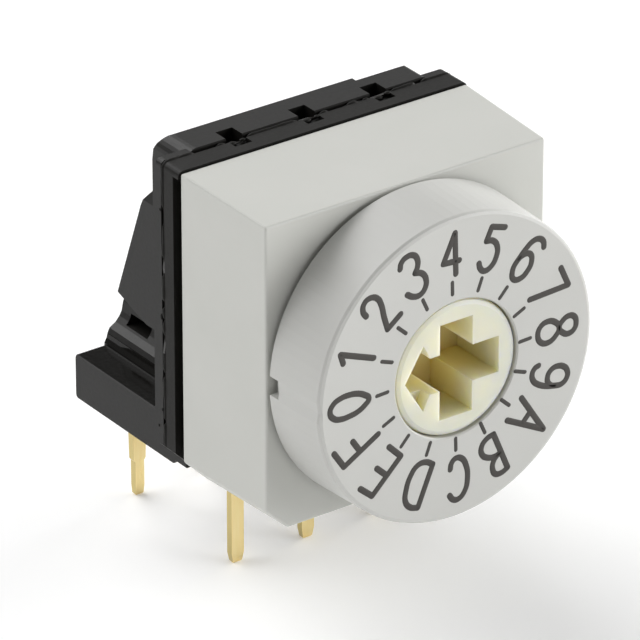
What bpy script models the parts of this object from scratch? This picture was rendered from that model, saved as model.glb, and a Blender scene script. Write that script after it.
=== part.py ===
"""Upright rotary coded switch for a circuit board: a ten millimetre square housing with a
dial knob on its front, a contact base behind it and a foot that carries two rows of pins.

The origin lies on the board's surface, in the middle of the six-pin pattern.  X runs to the
right as seen from the knob, Y away from the knob and Z up from the board.  Every length is
written in millimetres and turned into metres by MM.
"""

import math

import bmesh
import bpy
from mathutils import Vector

MM = 0.001

# Board pattern and pins
PIN_PITCH = 2.54
ROW_SPACING = 5.08
FRONT_ROW_SETBACK = 0.97
PIN_LENGTH = 3.545
PIN_THICKNESS = 0.24
PIN_WIDTH = 0.44
PIN_TAPER = 0.55
PIN_TIP_WIDTH = 0.24
PIN_TIP_THICKNESS = 0.14
SHOULDER_WIDTH = 0.60
SHOULDER_LENGTH = 2.315
SHOULDER_START = 0.45
SHOULDER_SLOPE = 0.08
LEG_SLOPE = 0.15
LEG_WIDTH = 0.50
FINGER_THICKNESS = 0.12
FINGER_WIDTH = 0.36
FINGER_TIP = 0.16
FINGER_TIP_LIFT = 0.10
FINGER_ROOT = 0.60
BEND_RADIUS = 0.26

# Housing
HOUSING_SIZE = 10.0
HOUSING_DEPTH = 3.95
HOUSING_LIFT = 0.235
HOUSING_DRAFT = 0.10
HOUSING_FLARE = 0.045
HOUSING_EDGE = 0.06
CORNER_CUT = 0.80
FRONT_WALL = 1.00
CAVITY_SIZE = 8.40
CAVITY_CORNER = 0.90

# Dial knob
KNOB_RADIUS = 4.90
KNOB_DRAFT = 0.09
KNOB_THICKNESS = 2.26
KNOB_STANDOFF = 0.17
KNOB_EDGE = 0.12
KNOB_BORE_EDGE = 0.04
NECK_RADIUS = 2.90
NOTCH_WIDTH = 0.60
NOTCH_LENGTH = 0.38
NOTCH_DEPTH = 0.28
FLUTE_DEPTH = 0.05

# Rotor
STEM_RADIUS = 2.12
ROTOR_RECESS = 0.04
ROTOR_EDGE = 0.17
KEY_FLAT = 1.85
KEY_SLOPE = 0.10
KEY_INSET = 0.64
SLOT_WIDTH = 1.16
SLOT_REACH = 1.52
SLOT_DEPTH = 2.00
ARROW_TIP = 1.80
ARROW_WING = 1.05
ARROW_WING_BACK = 0.65
ARROW_WAIST = 0.90
ARROW_DEPTH = 0.42
SLOT_LEDGE = 0.04
DRUM_RADIUS = 3.55
DRUM_LENGTH = 1.20
DETENT_COUNT = 16
DETENT_DEPTH = 0.22
BOSS_RADIUS = 1.05
BOSS_LENGTH = 0.25
LUG_RADIUS = 1.30
LUG_HALF_ANGLE = math.radians(5.6)
PIVOT_RADIUS = 0.95
PIVOT_REACH = 0.65
PIVOT_EDGE = 0.10

# Seals and washer
SEAL_SECTION = 0.60
WASHER_THICKNESS = 0.12
WASHER_WIDTH = 1.10

# Code disc
DISC_THICKNESS = 0.12
DISC_RIM = 0.13
TRACK_START = 1.60
TRACK_WIDTH = 0.28
TRACK_PITCH = 0.41
TRACK_COUNT = 4
COMMON_TRACK_RADIUS = 1.36

# Detent springs
SPRING_THICKNESS = 0.12
SPRING_WIDTH = 0.80
SPRING_HALF_LENGTH = 3.10
SPRING_NOSE_HALF = 0.42
SPRING_SHOULDER_HALF = 1.30
SPRING_NOSE_FLAT = 0.10
SPRING_SAG = 0.12
SPRING_DIP = 0.08

# Contact base
FLANGE_OVERHANG = 0.10
FLANGE_BACK = 0.75
FLANGE_CORNER = 0.18
FLANGE_CORNER_CUT = 1.03
SEAL_GROOVE = 0.30
SEAL_SETBACK = 0.25
LIP_HEIGHT = 0.25
SPIGOT_LENGTH = 0.45
ENTRY_HEIGHT = 1.25
FINGER_STANDOFF = 0.17
NOTCH_POCKET_WIDTH = 0.58
HOLLOW_FRONT = 0.42
HOLLOW_DEPTH = 0.12

# Resin film between base and bracket
RESIN_THICKNESS = 0.09
RESIN_SETBACK = 0.07
RESIN_WAVE = 0.06
RESIN_STEPS = 30

# Terminal bracket
BRACKET_HALF_WIDTH = 4.31
RIM_THICKNESS = 0.25
PLATE_THICKNESS = 1.61
PLATE_TOP_RISE = 0.05
PLATE_CORNER_LEFT = 0.45
PLATE_CORNER_RIGHT = 0.18
PLATE_EDGE = 0.035
PLATE_STEP_START = 2.45
PLATE_STEP = 0.21
PLATE_BEVEL_WIDTH = 0.43
PLATE_BEVEL_DROP = 0.85
PLATE_BEVEL_KNEE = 0.36
FOOT_HEIGHT = 1.485
FOOT_BACK_OVERHANG = 0.62
FOOT_FRONT = 1.60
FOOT_EDGE = 0.13
GUSSET_WIDTH = 1.12
GUSSET_TOP = 8.36
GUSSET_SHOULDER_HEIGHT = 7.82
GUSSET_SHOULDER_REACH = 0.47
GUSSET_BEND_HEIGHT = 7.58
GUSSET_BEND_REACH = 0.59
GUSSET_FOOT_HEIGHT = 4.27
GUSSET_FOOT_REACH = 1.84
GUSSET_FACET = 0.18
GUSSET_FACET_DROP = 0.54
GUSSET_UNDERSIDE = 3.80
BLOCK_SKIRT = [(3.25, -0.30), (3.25, 0.03), (3.17, 0.17), (3.14, 0.30), (3.06, 0.47), (2.84, 0.60),
               (2.70, 0.76), (2.62, 0.90)]
BLOCK_TOP_HALF = 2.40
BLOCK_HEIGHT = 1.36
BLOCK_EDGE = 0.16
POCKET_SETBACK = 0.96
POCKET_LENGTH = 1.10
POCKET_INNER = 1.95
POCKET_BOTTOM = 0.66
POCKET_HEIGHT = 0.34
RUN_SETBACK = 0.36
RUN_HEIGHT = 1.15

# Clearances
RUN_CLEARANCE = 0.05
SEAT_CLEARANCE = 0.03

ROUND_STEPS = 96
RING_STEPS = 48

# Places that follow from the sizes above.  Depths are counted from the housing's back face,
# heights from the housing's underside.
BACK_Y = -ROW_SPACING / 2 - FRONT_ROW_SETBACK
AXIS_HEIGHT = HOUSING_SIZE / 2
HOUSING_FRONT = -HOUSING_DEPTH
CAVITY_FLOOR = HOUSING_FRONT + FRONT_WALL
WASHER_FRONT = CAVITY_FLOOR + SEAT_CLEARANCE
DRUM_FRONT = WASHER_FRONT + WASHER_THICKNESS + SEAT_CLEARANCE
DRUM_BACK = DRUM_FRONT + DRUM_LENGTH
BOSS_END = DRUM_BACK + BOSS_LENGTH
DISC_FRONT = DRUM_BACK + SEAT_CLEARANCE
DISC_BACK = DISC_FRONT + DISC_THICKNESS
DISC_RADIUS = TRACK_START + (TRACK_COUNT - 1) * TRACK_PITCH + TRACK_WIDTH + DISC_RIM
BASE_FACE = -SPIGOT_LENGTH
PIVOT_END = BASE_FACE + PIVOT_REACH
KNOB_BACK = HOUSING_FRONT - KNOB_STANDOFF
KNOB_FACE = KNOB_BACK - KNOB_THICKNESS
NECK_END = HOUSING_FRONT - SEAT_CLEARANCE
ROTOR_FACE = KNOB_FACE + ROTOR_RECESS
BORE_RADIUS = STEM_RADIUS + RUN_CLEARANCE
KNOB_BORE = STEM_RADIUS + SEAT_CLEARANCE
VALLEY_RADIUS = DRUM_RADIUS - DETENT_DEPTH
SEAL_RING_RADIUS = STEM_RADIUS + SEAT_CLEARANCE + SEAL_SECTION / 2
FLANGE_HALF = HOUSING_SIZE / 2 + FLANGE_OVERHANG
RESIN_FRONT = FLANGE_BACK + SEAT_CLEARANCE
PLATE_FRONT = RESIN_FRONT + RESIN_THICKNESS + SEAT_CLEARANCE
PLATE_BACK = PLATE_FRONT + PLATE_THICKNESS
PLATE_TOP = HOUSING_SIZE + FLANGE_OVERHANG + PLATE_TOP_RISE
RIM_BACK = PLATE_FRONT + RIM_THICKNESS
FOOT_BOTTOM = -HOUSING_LIFT
FOOT_TOP = FOOT_BOTTOM + FOOT_HEIGHT
FRONT_ROW = FRONT_ROW_SETBACK
REAR_ROW = FRONT_ROW_SETBACK + ROW_SPACING
FOOT_BACK = REAR_ROW + FOOT_BACK_OVERHANG
RUN_DEPTH = PLATE_FRONT + RUN_SETBACK
GROOVE_BACK = RUN_DEPTH + PIN_THICKNESS / 2 + RUN_CLEARANCE
TOP_ENTRY_HEIGHT = HOUSING_SIZE - ENTRY_HEIGHT
PIN_TIP = -HOUSING_LIFT - PIN_LENGTH


def place(x, depth, height):
    """World position in metres of a point given from the housing's back face and underside."""
    return Vector((x, BACK_Y + depth, HOUSING_LIFT + height)) * MM


def material(name, colour, roughness, metallic=0.0):
    """Plain surface of one colour."""
    found = bpy.data.materials.new(name)
    found.use_nodes = True
    shader = found.node_tree.nodes["Principled BSDF"]
    shader.inputs["Base Color"].default_value = (*colour, 1.0)
    shader.inputs["Roughness"].default_value = roughness
    shader.inputs["Metallic"].default_value = metallic
    found.diffuse_color = (*colour, 1.0)
    return found


def finish(bm, name, origin, surface=None, sharp=40.0):
    """Turn a closed bmesh into an object whose origin is the given world point."""
    bmesh.ops.translate(bm, verts=bm.verts, vec=-origin)
    bmesh.ops.recalc_face_normals(bm, faces=bm.faces)
    mesh = bpy.data.meshes.new(name)
    bm.to_mesh(mesh)
    bm.free()
    mesh.shade_smooth()
    mesh.set_sharp_from_angle(angle=math.radians(sharp))
    piece = bpy.data.objects.new(name, mesh)
    piece.location = origin
    bpy.context.scene.collection.objects.link(piece)
    if surface:
        mesh.materials.append(surface)
    return piece


def guide(bm, name):
    """Tool body for a cut or a join, kept in the scene but hidden."""
    tool = finish(bm, name, Vector((0.0, 0.0, 0.0)))
    tool.hide_render = True
    tool.display_type = "WIRE"
    return tool


def combine(piece, tool, operation="DIFFERENCE"):
    """Live cut or join of a piece with a tool body."""
    step = piece.modifiers.new(tool.name, "BOOLEAN")
    step.operation = operation
    step.solver = "EXACT"
    step.object = tool


def round_edges(piece, width, segments=2):
    """Small moulded radius on the sharp edges of a piece."""
    step = piece.modifiers.new("moulded_edge", "BEVEL")
    step.width = width * MM
    step.segments = segments
    step.limit_method = "ANGLE"
    step.angle_limit = math.radians(30)


def square_outline(half, inset=0.0):
    """Square seen from the front, about the axis, with its lower left corner cut at 45 degrees."""
    side = half - inset
    cut = CORNER_CUT - inset * (2 - math.sqrt(2))
    return [(-side + cut, -side), (side, -side), (side, side), (-side, side), (-side, -side + cut)]


def flange_outline(half, radius=FLANGE_CORNER, cut=FLANGE_CORNER_CUT, steps=5):
    """The square of the flanges: three round corners and the cut one at the lower left."""
    points = []
    for middle in (-math.pi / 4, math.pi / 4, 3 * math.pi / 4):
        cx = math.copysign(half - radius, math.cos(middle))
        cz = math.copysign(half - radius, math.sin(middle))
        for step in range(steps + 1):
            angle = middle - math.pi / 4 + step * math.pi / 2 / steps
            points.append((cx + radius * math.cos(angle), cz + radius * math.sin(angle)))
    return [(-half + cut, -half)] + points + [(-half, -half + cut)]


def rounded_outline(half, radius, steps=5):
    """Square with round corners, about the axis."""
    points = []
    for quarter in range(4):
        middle = math.pi / 4 + quarter * math.pi / 2
        cx = (half - radius) * math.copysign(1, math.cos(middle))
        cz = (half - radius) * math.copysign(1, math.sin(middle))
        for step in range(steps + 1):
            angle = quarter * math.pi / 2 + step * math.pi / 2 / steps
            points.append((cx + radius * math.cos(angle), cz + radius * math.sin(angle)))
    return points


def circle_outline(radius, steps=ROUND_STEPS):
    """Circle about the axis."""
    return [
        (radius * math.cos(2 * math.pi * k / steps), radius * math.sin(2 * math.pi * k / steps))
        for k in range(steps)
    ]


def loft(bm, rings, closed=False):
    """Skin over rings of equal point counts; open ends are capped, a closed set joins up."""
    rows = [[bm.verts.new(point) for point in ring] for ring in rings]
    count = len(rows[0])
    pairs = list(zip(rows, rows[1:] + rows[:1])) if closed else list(zip(rows, rows[1:]))
    for first, second in pairs:
        for k in range(count):
            following = (k + 1) % count
            bm.faces.new((first[k], first[following], second[following], second[k]))
    if not closed:
        bm.faces.new(list(reversed(rows[0])))
        bm.faces.new(rows[-1])
    return bm


def axis_ring(outline, depth):
    """Outline about the switch's axis, set at a depth."""
    return [place(x, depth, AXIS_HEIGHT + z) for x, z in outline]


def along_axis(sections, closed=False):
    """Body through (outline, depth) sections that share the switch's axis."""
    return loft(bmesh.new(), [axis_ring(outline, depth) for outline, depth in sections], closed)


def across_width(outline, left, right):
    """Body from a side view of (depth, height) points, drawn out from left to right."""
    rings = [[place(x, depth, height) for depth, height in outline] for x in (left, right)]
    return loft(bmesh.new(), rings)


def box(x_range, depth_range, height_range):
    """Rectangular body between pairs of limits."""
    outline = [(d, h) for d, h in (
        (depth_range[0], height_range[0]), (depth_range[1], height_range[0]),
        (depth_range[1], height_range[1]), (depth_range[0], height_range[1]))]
    return across_width(outline, x_range[0], x_range[1])


def mirrored_box(x_range, depth_range, height_range):
    """The same box on both sides of the middle plane."""
    bm = box(x_range, depth_range, height_range)
    bmesh.ops.recalc_face_normals(bm, faces=bm.faces)
    twin = bmesh.ops.duplicate(bm, geom=bm.verts[:] + bm.edges[:] + bm.faces[:])["geom"]
    points = [item for item in twin if isinstance(item, bmesh.types.BMVert)]
    for point in points:
        point.co.x = -point.co.x
    return bm


def bent_points(stations):
    """Path through (point, width, thickness, bend radius) stations with its bends rounded."""
    path = []
    for index, (point, width, thickness, bend) in enumerate(stations):
        if bend == 0 or index in (0, len(stations) - 1):
            path.append((point, width, thickness))
            continue
        start = point + (stations[index - 1][0] - point).normalized() * bend
        end = point + (stations[index + 1][0] - point).normalized() * bend
        for step in range(5):
            part = step / 4
            near = start.lerp(point, part)
            far = point.lerp(end, part)
            path.append((near.lerp(far, part), width, thickness))
    return path


def strip(stations, spare=0.0):
    """Flat strip along a path, its width kept level with X where the path allows."""
    path = bent_points(stations)
    rings = []
    for index, (point, width, thickness) in enumerate(path):
        before = path[max(index - 1, 0)][0]
        after = path[min(index + 1, len(path) - 1)][0]
        ahead = (after - before).normalized()
        level = Vector((1.0, 0.0, 0.0))
        level = (level - level.dot(ahead) * ahead).normalized()
        normal = ahead.cross(level)
        half_width = level * (width / 2 + spare)
        half_thickness = normal * (thickness / 2 + spare)
        rings.append([
            point - half_width - half_thickness, point + half_width - half_thickness,
            point + half_width + half_thickness, point - half_width + half_thickness])
    placed = [[place(p.x, p.y, p.z) for p in ring] for ring in rings]
    return loft(bmesh.new(), placed)


def housing(surface):
    """Square moulded case: drafted sides, one cut corner, a bore for the rotor at the front and
    a square cavity with round corners at the back."""
    half = HOUSING_SIZE / 2
    bm = along_axis([(square_outline(half, HOUSING_DRAFT), HOUSING_FRONT),
                     (square_outline(half, -HOUSING_FLARE), 0.0)])
    piece = finish(bm, "housing", place(0, 0, AXIS_HEIGHT), surface)
    round_edges(piece, HOUSING_EDGE)
    cavity = rounded_outline(CAVITY_SIZE / 2, CAVITY_CORNER)
    combine(piece, guide(along_axis([(cavity, CAVITY_FLOOR), (cavity, 1.0)]), "cut_cavity"))
    pocket_radius = SEAL_RING_RADIUS + SEAL_SECTION / 2 + SEAT_CLEARANCE
    pocket_floor = CAVITY_FLOOR - SEAL_SECTION - SEAT_CLEARANCE
    bore = along_axis([
        (circle_outline(BORE_RADIUS), HOUSING_FRONT - 1.0),
        (circle_outline(BORE_RADIUS), pocket_floor),
        (circle_outline(pocket_radius), pocket_floor),
        (circle_outline(pocket_radius), CAVITY_FLOOR + 1.0),
    ])
    combine(piece, guide(bore, "cut_bore"))
    return piece


def flat_sided(radius, flat, steps=ROUND_STEPS):
    """Circle with two opposite flats at the left and right."""
    points = []
    for x, z in circle_outline(radius, steps):
        scale = min(1.0, flat / abs(x)) if abs(x) > 1e-6 else 1.0
        points.append((x * scale, z))
    return points


def fluted(radius):
    """Knob rim with one fine flute at the left, in line with the first figure."""
    points = circle_outline(radius)
    middle = ROUND_STEPS // 2
    points[middle] = (-(radius - FLUTE_DEPTH), 0.0)
    return points


def knob(surface):
    """Dial disc: slightly drafted rim with a soft front edge, a keyed bore and a short neck
    that runs on the housing's face."""
    front_radius = KNOB_RADIUS - KNOB_DRAFT
    key_start = KNOB_FACE + KEY_INSET + ROTOR_RECESS + SEAT_CLEARANCE
    key_end = HOUSING_FRONT - KEY_SLOPE - RUN_CLEARANCE
    bore = circle_outline(KNOB_BORE)
    keyed = flat_sided(KNOB_BORE, KEY_FLAT + SEAT_CLEARANCE)
    bm = along_axis([
        (fluted(KNOB_RADIUS), KNOB_BACK),
        (fluted(front_radius), KNOB_FACE + KNOB_EDGE),
        (fluted(front_radius - KNOB_EDGE * 0.29), KNOB_FACE + KNOB_EDGE * 0.29),
        (circle_outline(front_radius - KNOB_EDGE), KNOB_FACE),
        (circle_outline(KNOB_BORE + KNOB_BORE_EDGE), KNOB_FACE),
        (bore, KNOB_FACE + KNOB_BORE_EDGE),
        (bore, key_start),
        (keyed, key_start + KEY_SLOPE),
        (keyed, key_end - KEY_SLOPE),
        (bore, key_end),
        (bore, NECK_END),
        (circle_outline(NECK_RADIUS), NECK_END),
        (circle_outline(NECK_RADIUS), KNOB_BACK),
    ], closed=True)
    piece = finish(bm, "knob", place(0, HOUSING_FRONT, AXIS_HEIGHT), surface)
    notch = box(
        (-KNOB_RADIUS - 1.0, -KNOB_RADIUS + NOTCH_DEPTH),
        (KNOB_BACK - NOTCH_LENGTH, KNOB_BACK + KNOB_STANDOFF),
        (AXIS_HEIGHT - NOTCH_WIDTH / 2, AXIS_HEIGHT + NOTCH_WIDTH / 2))
    combine(piece, guide(notch, "cut_index_notch"))
    return piece


def scalloped(radius, depth):
    """Drum rim with one valley for each switch position, the first one straight up."""
    points = []
    for k in range(ROUND_STEPS):
        angle = 2 * math.pi * k / ROUND_STEPS
        wave = 0.5 + 0.5 * math.cos(DETENT_COUNT * (angle - math.pi / 2))
        reach = radius - depth * wave
        points.append((reach * math.cos(angle), reach * math.sin(angle)))
    return points


def lugged(radius, lug):
    """Round boss with two key lugs at the left and right."""
    points = []
    for k in range(ROUND_STEPS):
        angle = 2 * math.pi * k / ROUND_STEPS
        off_side = min(abs(math.remainder(angle, math.pi)), math.pi)
        reach = lug if off_side < LUG_HALF_ANGLE else radius
        points.append((reach * math.cos(angle), reach * math.sin(angle)))
    return points


def cross_slot():
    """Deep cross for the screwdriver, its left arm running out to a point."""
    w = SLOT_WIDTH / 2
    r = SLOT_REACH
    slope = ARROW_WING_BACK / ARROW_WING
    tip = ARROW_TIP - SLOT_LEDGE
    return [(-tip, 0), (-tip + w * slope, -w), (-w, -w), (-w, -r), (w, -r), (w, -w),
            (r, -w), (r, w), (w, w), (w, r), (-w, r), (-w, w), (-tip + w * slope, w)]


def arrow_head():
    """Shallow arrow head over the left arm of the cross."""
    back = -ARROW_TIP + ARROW_WING_BACK
    w = SLOT_WIDTH / 2 - SLOT_LEDGE
    return [(-ARROW_TIP, 0), (back, -ARROW_WING), (-ARROW_WAIST, -w), (-ARROW_WAIST + 0.2, 0),
            (-ARROW_WAIST, w), (back, ARROW_WING)]


def rotor(surface):
    """Turned actuator in one piece: slotted face, keyed neck, smooth stem, scalloped detent
    drum and rear pivot."""
    key_start = ROTOR_FACE + KEY_INSET
    key_end = HOUSING_FRONT - RUN_CLEARANCE
    stem = circle_outline(STEM_RADIUS)
    keyed = flat_sided(STEM_RADIUS, KEY_FLAT)
    drum = scalloped(DRUM_RADIUS, DETENT_DEPTH)
    boss = lugged(BOSS_RADIUS, LUG_RADIUS)
    pivot = circle_outline(PIVOT_RADIUS)
    bm = along_axis([
        (circle_outline(STEM_RADIUS - ROTOR_EDGE), ROTOR_FACE),
        (circle_outline(STEM_RADIUS - ROTOR_EDGE * 0.29), ROTOR_FACE + ROTOR_EDGE * 0.29),
        (stem, ROTOR_FACE + ROTOR_EDGE),
        (stem, key_start),
        (keyed, key_start + KEY_SLOPE),
        (keyed, key_end - KEY_SLOPE),
        (stem, key_end),
        (stem, DRUM_FRONT),
        (drum, DRUM_FRONT),
        (drum, DRUM_BACK),
        (boss, DRUM_BACK),
        (boss, BOSS_END),
        (pivot, BOSS_END),
        (pivot, PIVOT_END - PIVOT_EDGE),
        (circle_outline(PIVOT_RADIUS - PIVOT_EDGE), PIVOT_END),
    ])
    piece = finish(bm, "rotor", place(0, HOUSING_FRONT, AXIS_HEIGHT), surface)
    slot = along_axis([(cross_slot(), ROTOR_FACE - 0.5), (cross_slot(), ROTOR_FACE + SLOT_DEPTH)])
    combine(piece, guide(slot, "cut_cross_slot"))
    arrow = along_axis([(arrow_head(), ROTOR_FACE - 0.4), (arrow_head(), ROTOR_FACE + ARROW_DEPTH)])
    combine(piece, guide(arrow, "cut_arrow_head"))
    return piece


def turned_ring(name, profile, surface, steps=RING_STEPS):
    """Ring about the axis from a closed (radius, depth) profile."""
    sections = [(circle_outline(radius, steps), depth) for radius, depth in profile]
    return finish(along_axis(sections, closed=True), name, place(0, HOUSING_FRONT, AXIS_HEIGHT), surface)


def shaft_seal(surface):
    """Round-section sealing ring about the rotor's stem, in the housing's pocket."""
    radius = SEAL_SECTION / 2
    middle = CAVITY_FLOOR - radius
    profile = [
        (SEAL_RING_RADIUS + radius * math.cos(2 * math.pi * k / 12),
         middle + radius * math.sin(2 * math.pi * k / 12))
        for k in range(12)
    ]
    return turned_ring("shaft_seal", profile, surface)


def thrust_washer(surface):
    """Thin ring that keeps the seal in its pocket and carries the drum's front face."""
    inner = STEM_RADIUS + RUN_CLEARANCE
    outer = inner + WASHER_WIDTH
    back = WASHER_FRONT + WASHER_THICKNESS
    profile = [(inner, WASHER_FRONT), (outer, WASHER_FRONT), (outer, back), (inner, back)]
    return turned_ring("thrust_washer", profile, surface)


def track_radius(track):
    """Middle radius of a code track, the common one being -1."""
    if track < 0:
        return COMMON_TRACK_RADIUS
    return TRACK_START + track * TRACK_PITCH + TRACK_WIDTH / 2


# One entry per terminal: name, side place in pitches, rear row or not, code track and the
# sideways place of its contact point on that track.
TERMINALS = [
    ("terminal_front_left", -1, False, 3, -2.20),
    ("terminal_front_middle", 0, False, -1, 0.0),
    ("terminal_front_right", 1, False, 2, 1.90),
    ("terminal_rear_left", -1, True, 1, -1.60),
    ("terminal_rear_middle", 0, True, -1, 0.0),
    ("terminal_rear_right", 1, True, 0, 1.30),
]


def contact_point(rear, track, x):
    """Place where a terminal's finger meets its track, seen from the front about the axis."""
    rise = math.sqrt(track_radius(track) ** 2 - x ** 2)
    return (x, rise if rear else -rise)


def code_disc(surface):
    """Contact plate on the drum's back: an unbroken common track inside four code tracks, with
    windows wherever a position leaves its bit open."""
    angles = {}
    for _, _, rear, track, x in TERMINALS:
        if track >= 0:
            px, pz = contact_point(rear, track, x)
            angles[track] = math.atan2(pz, px)
    inner = BOSS_RADIUS + RUN_CLEARANCE
    radii = [inner, LUG_RADIUS + RUN_CLEARANCE]
    kinds = ["key"]
    for track in range(TRACK_COUNT):
        start = TRACK_START + track * TRACK_PITCH
        radii += [start, start + TRACK_WIDTH]
        kinds += ["web", track]
    radii.append(DISC_RADIUS)
    kinds.append("web")
    step = 2 * math.pi / RING_STEPS
    sector = 2 * math.pi / DETENT_COUNT

    def filled(kind, cell):
        """Whether one cell of the plate is metal."""
        middle = (cell + 0.5) * step
        if kind == "web":
            return True
        if kind == "key":
            return abs(math.remainder(middle, math.pi)) > step
        position = round((angles[kind] - middle) / sector) % DETENT_COUNT
        return bool(position >> kind & 1)

    bm = bmesh.new()
    grid = {}

    def corner(band, cell):
        """Shared grid point on the plate's front."""
        key = (band, cell % RING_STEPS)
        if key not in grid:
            angle = key[1] * step
            grid[key] = bm.verts.new(
                place(radii[band] * math.cos(angle), DISC_FRONT, AXIS_HEIGHT + radii[band] * math.sin(angle)))
        return grid[key]

    for band, kind in enumerate(kinds):
        for cell in range(RING_STEPS):
            if filled(kind, cell):
                bm.faces.new((corner(band, cell), corner(band + 1, cell),
                              corner(band + 1, cell + 1), corner(band, cell + 1)))
    bmesh.ops.recalc_face_normals(bm, faces=bm.faces)
    front = bm.faces[:]
    raised = bmesh.ops.extrude_face_region(bm, geom=front, use_keep_orig=True)["geom"]
    moved = [item for item in raised if isinstance(item, bmesh.types.BMVert)]
    bmesh.ops.translate(bm, verts=moved, vec=Vector((0, DISC_THICKNESS * MM, 0)))
    return finish(bm, "code_disc", place(0, HOUSING_FRONT, AXIS_HEIGHT), surface)


def detent_spring(name, side, surface):
    """Bowed leaf whose nose rests in a valley of the drum; side is 1 above and -1 below."""
    seat = CAVITY_SIZE / 2 - SEAT_CLEARANCE - SPRING_THICKNESS
    nose = VALLEY_RADIUS + SEAT_CLEARANCE + SPRING_THICKNESS * 0.75
    shoulder = seat - SPRING_SAG
    middle = (DRUM_FRONT + DRUM_BACK) / 2
    line = [(-SPRING_HALF_LENGTH, seat), (-SPRING_SHOULDER_HALF, shoulder),
            (-SPRING_NOSE_HALF, shoulder - SPRING_DIP), (-SPRING_NOSE_FLAT, nose),
            (SPRING_NOSE_FLAT, nose), (SPRING_NOSE_HALF, shoulder - SPRING_DIP),
            (SPRING_SHOULDER_HALF, shoulder),
            (SPRING_HALF_LENGTH, seat)]
    half = SPRING_THICKNESS / 2
    outer, inner = [], []
    for index, (x, z) in enumerate(line):
        before = Vector(line[max(index - 1, 0)])
        after = Vector(line[min(index + 1, len(line) - 1)])
        ahead = (after - before).normalized()
        normal = Vector((-ahead.y, ahead.x)) * half
        outer.append((x + normal.x, side * (z + normal.y)))
        inner.append((x - normal.x, side * (z - normal.y)))
    outline = outer + inner[::-1]
    bm = along_axis([(outline, middle - SPRING_WIDTH / 2), (outline, middle + SPRING_WIDTH / 2)])
    return finish(bm, name, place(0, middle, AXIS_HEIGHT + side * seat), surface)


def terminal_stations(column, rear, track, x):
    """Stations of one terminal from its contact finger to its pin tip."""
    side = column * PIN_PITCH
    px, pz = contact_point(rear, track, x)
    entry = TOP_ENTRY_HEIGHT if rear else ENTRY_HEIGHT
    inward = -1 if rear else 1
    finger_depth = BASE_FACE - FINGER_STANDOFF
    touch = DISC_BACK + SEAT_CLEARANCE + FINGER_THICKNESS * 0.6
    contact = Vector((px, touch, AXIS_HEIGHT + pz))
    root = Vector((side, finger_depth, entry + inward * FINGER_ROOT))
    beyond = Vector((px - root.x, 0, contact.z - root.z)).normalized() * FINGER_TIP
    lifted = contact + beyond + Vector((0, FINGER_TIP_LIFT, 0))
    stations = [
        (lifted, FINGER_WIDTH * 0.7, FINGER_THICKNESS, 0),
        (contact, FINGER_WIDTH, FINGER_THICKNESS, 0),
        (root, FINGER_WIDTH, FINGER_THICKNESS, 0),
        (Vector((side, finger_depth, entry)), LEG_WIDTH, FINGER_THICKNESS, 0.16),
        (Vector((side, BASE_FACE + 0.10, entry)), LEG_WIDTH, PIN_THICKNESS, 0),
    ]
    row = REAR_ROW if rear else FRONT_ROW
    if rear:
        stations += [
            (Vector((side, RUN_DEPTH, entry)), LEG_WIDTH, PIN_THICKNESS, BEND_RADIUS * 0.8),
            (Vector((side, RUN_DEPTH, RUN_HEIGHT)), LEG_WIDTH, PIN_THICKNESS, BEND_RADIUS),
            (Vector((side, row, RUN_HEIGHT)), LEG_WIDTH, PIN_THICKNESS, BEND_RADIUS),
            (Vector((side, row, RUN_HEIGHT - SHOULDER_START)), LEG_WIDTH, PIN_THICKNESS, 0),
            (Vector((side, row, RUN_HEIGHT - SHOULDER_START - LEG_SLOPE)), SHOULDER_WIDTH,
             PIN_THICKNESS, 0),
            (Vector((side, row, FOOT_BOTTOM - SHOULDER_LENGTH)), SHOULDER_WIDTH, PIN_THICKNESS, 0),
            (Vector((side, row, FOOT_BOTTOM - SHOULDER_LENGTH - SHOULDER_SLOPE)), PIN_WIDTH,
             PIN_THICKNESS, 0),
        ]
    else:
        stations += [
            (Vector((side, row, entry)), LEG_WIDTH, PIN_THICKNESS, BEND_RADIUS),
            (Vector((side, row, entry - FINGER_ROOT)), LEG_WIDTH, PIN_THICKNESS, 0),
            (Vector((side, row, entry - FINGER_ROOT - LEG_SLOPE)), PIN_WIDTH, PIN_THICKNESS, 0),
        ]
    stations += [
        (Vector((side, row, PIN_TIP + PIN_TAPER)), PIN_WIDTH, PIN_THICKNESS, 0),
        (Vector((side, row, PIN_TIP)), PIN_TIP_WIDTH, PIN_TIP_THICKNESS, 0),
    ]
    return stations


def terminal(name, column, rear, track, x, surface):
    """One stamped terminal: contact finger, leg, bends and pin in a single strip."""
    row = REAR_ROW if rear else FRONT_ROW
    bm = strip(terminal_stations(column, rear, track, x))
    return finish(bm, name, place(column * PIN_PITCH, row, FOOT_BOTTOM), surface)


def terminal_channel(piece, column, rear, track, x):
    """Room for one terminal in a piece that it is moulded into."""
    stations = terminal_stations(column, rear, track, x)
    name = "cut_channel_%s_%s_%d" % (piece.name, "rear" if rear else "front", column + 1)
    combine(piece, guide(strip(stations, SEAT_CLEARANCE), name))


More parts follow.
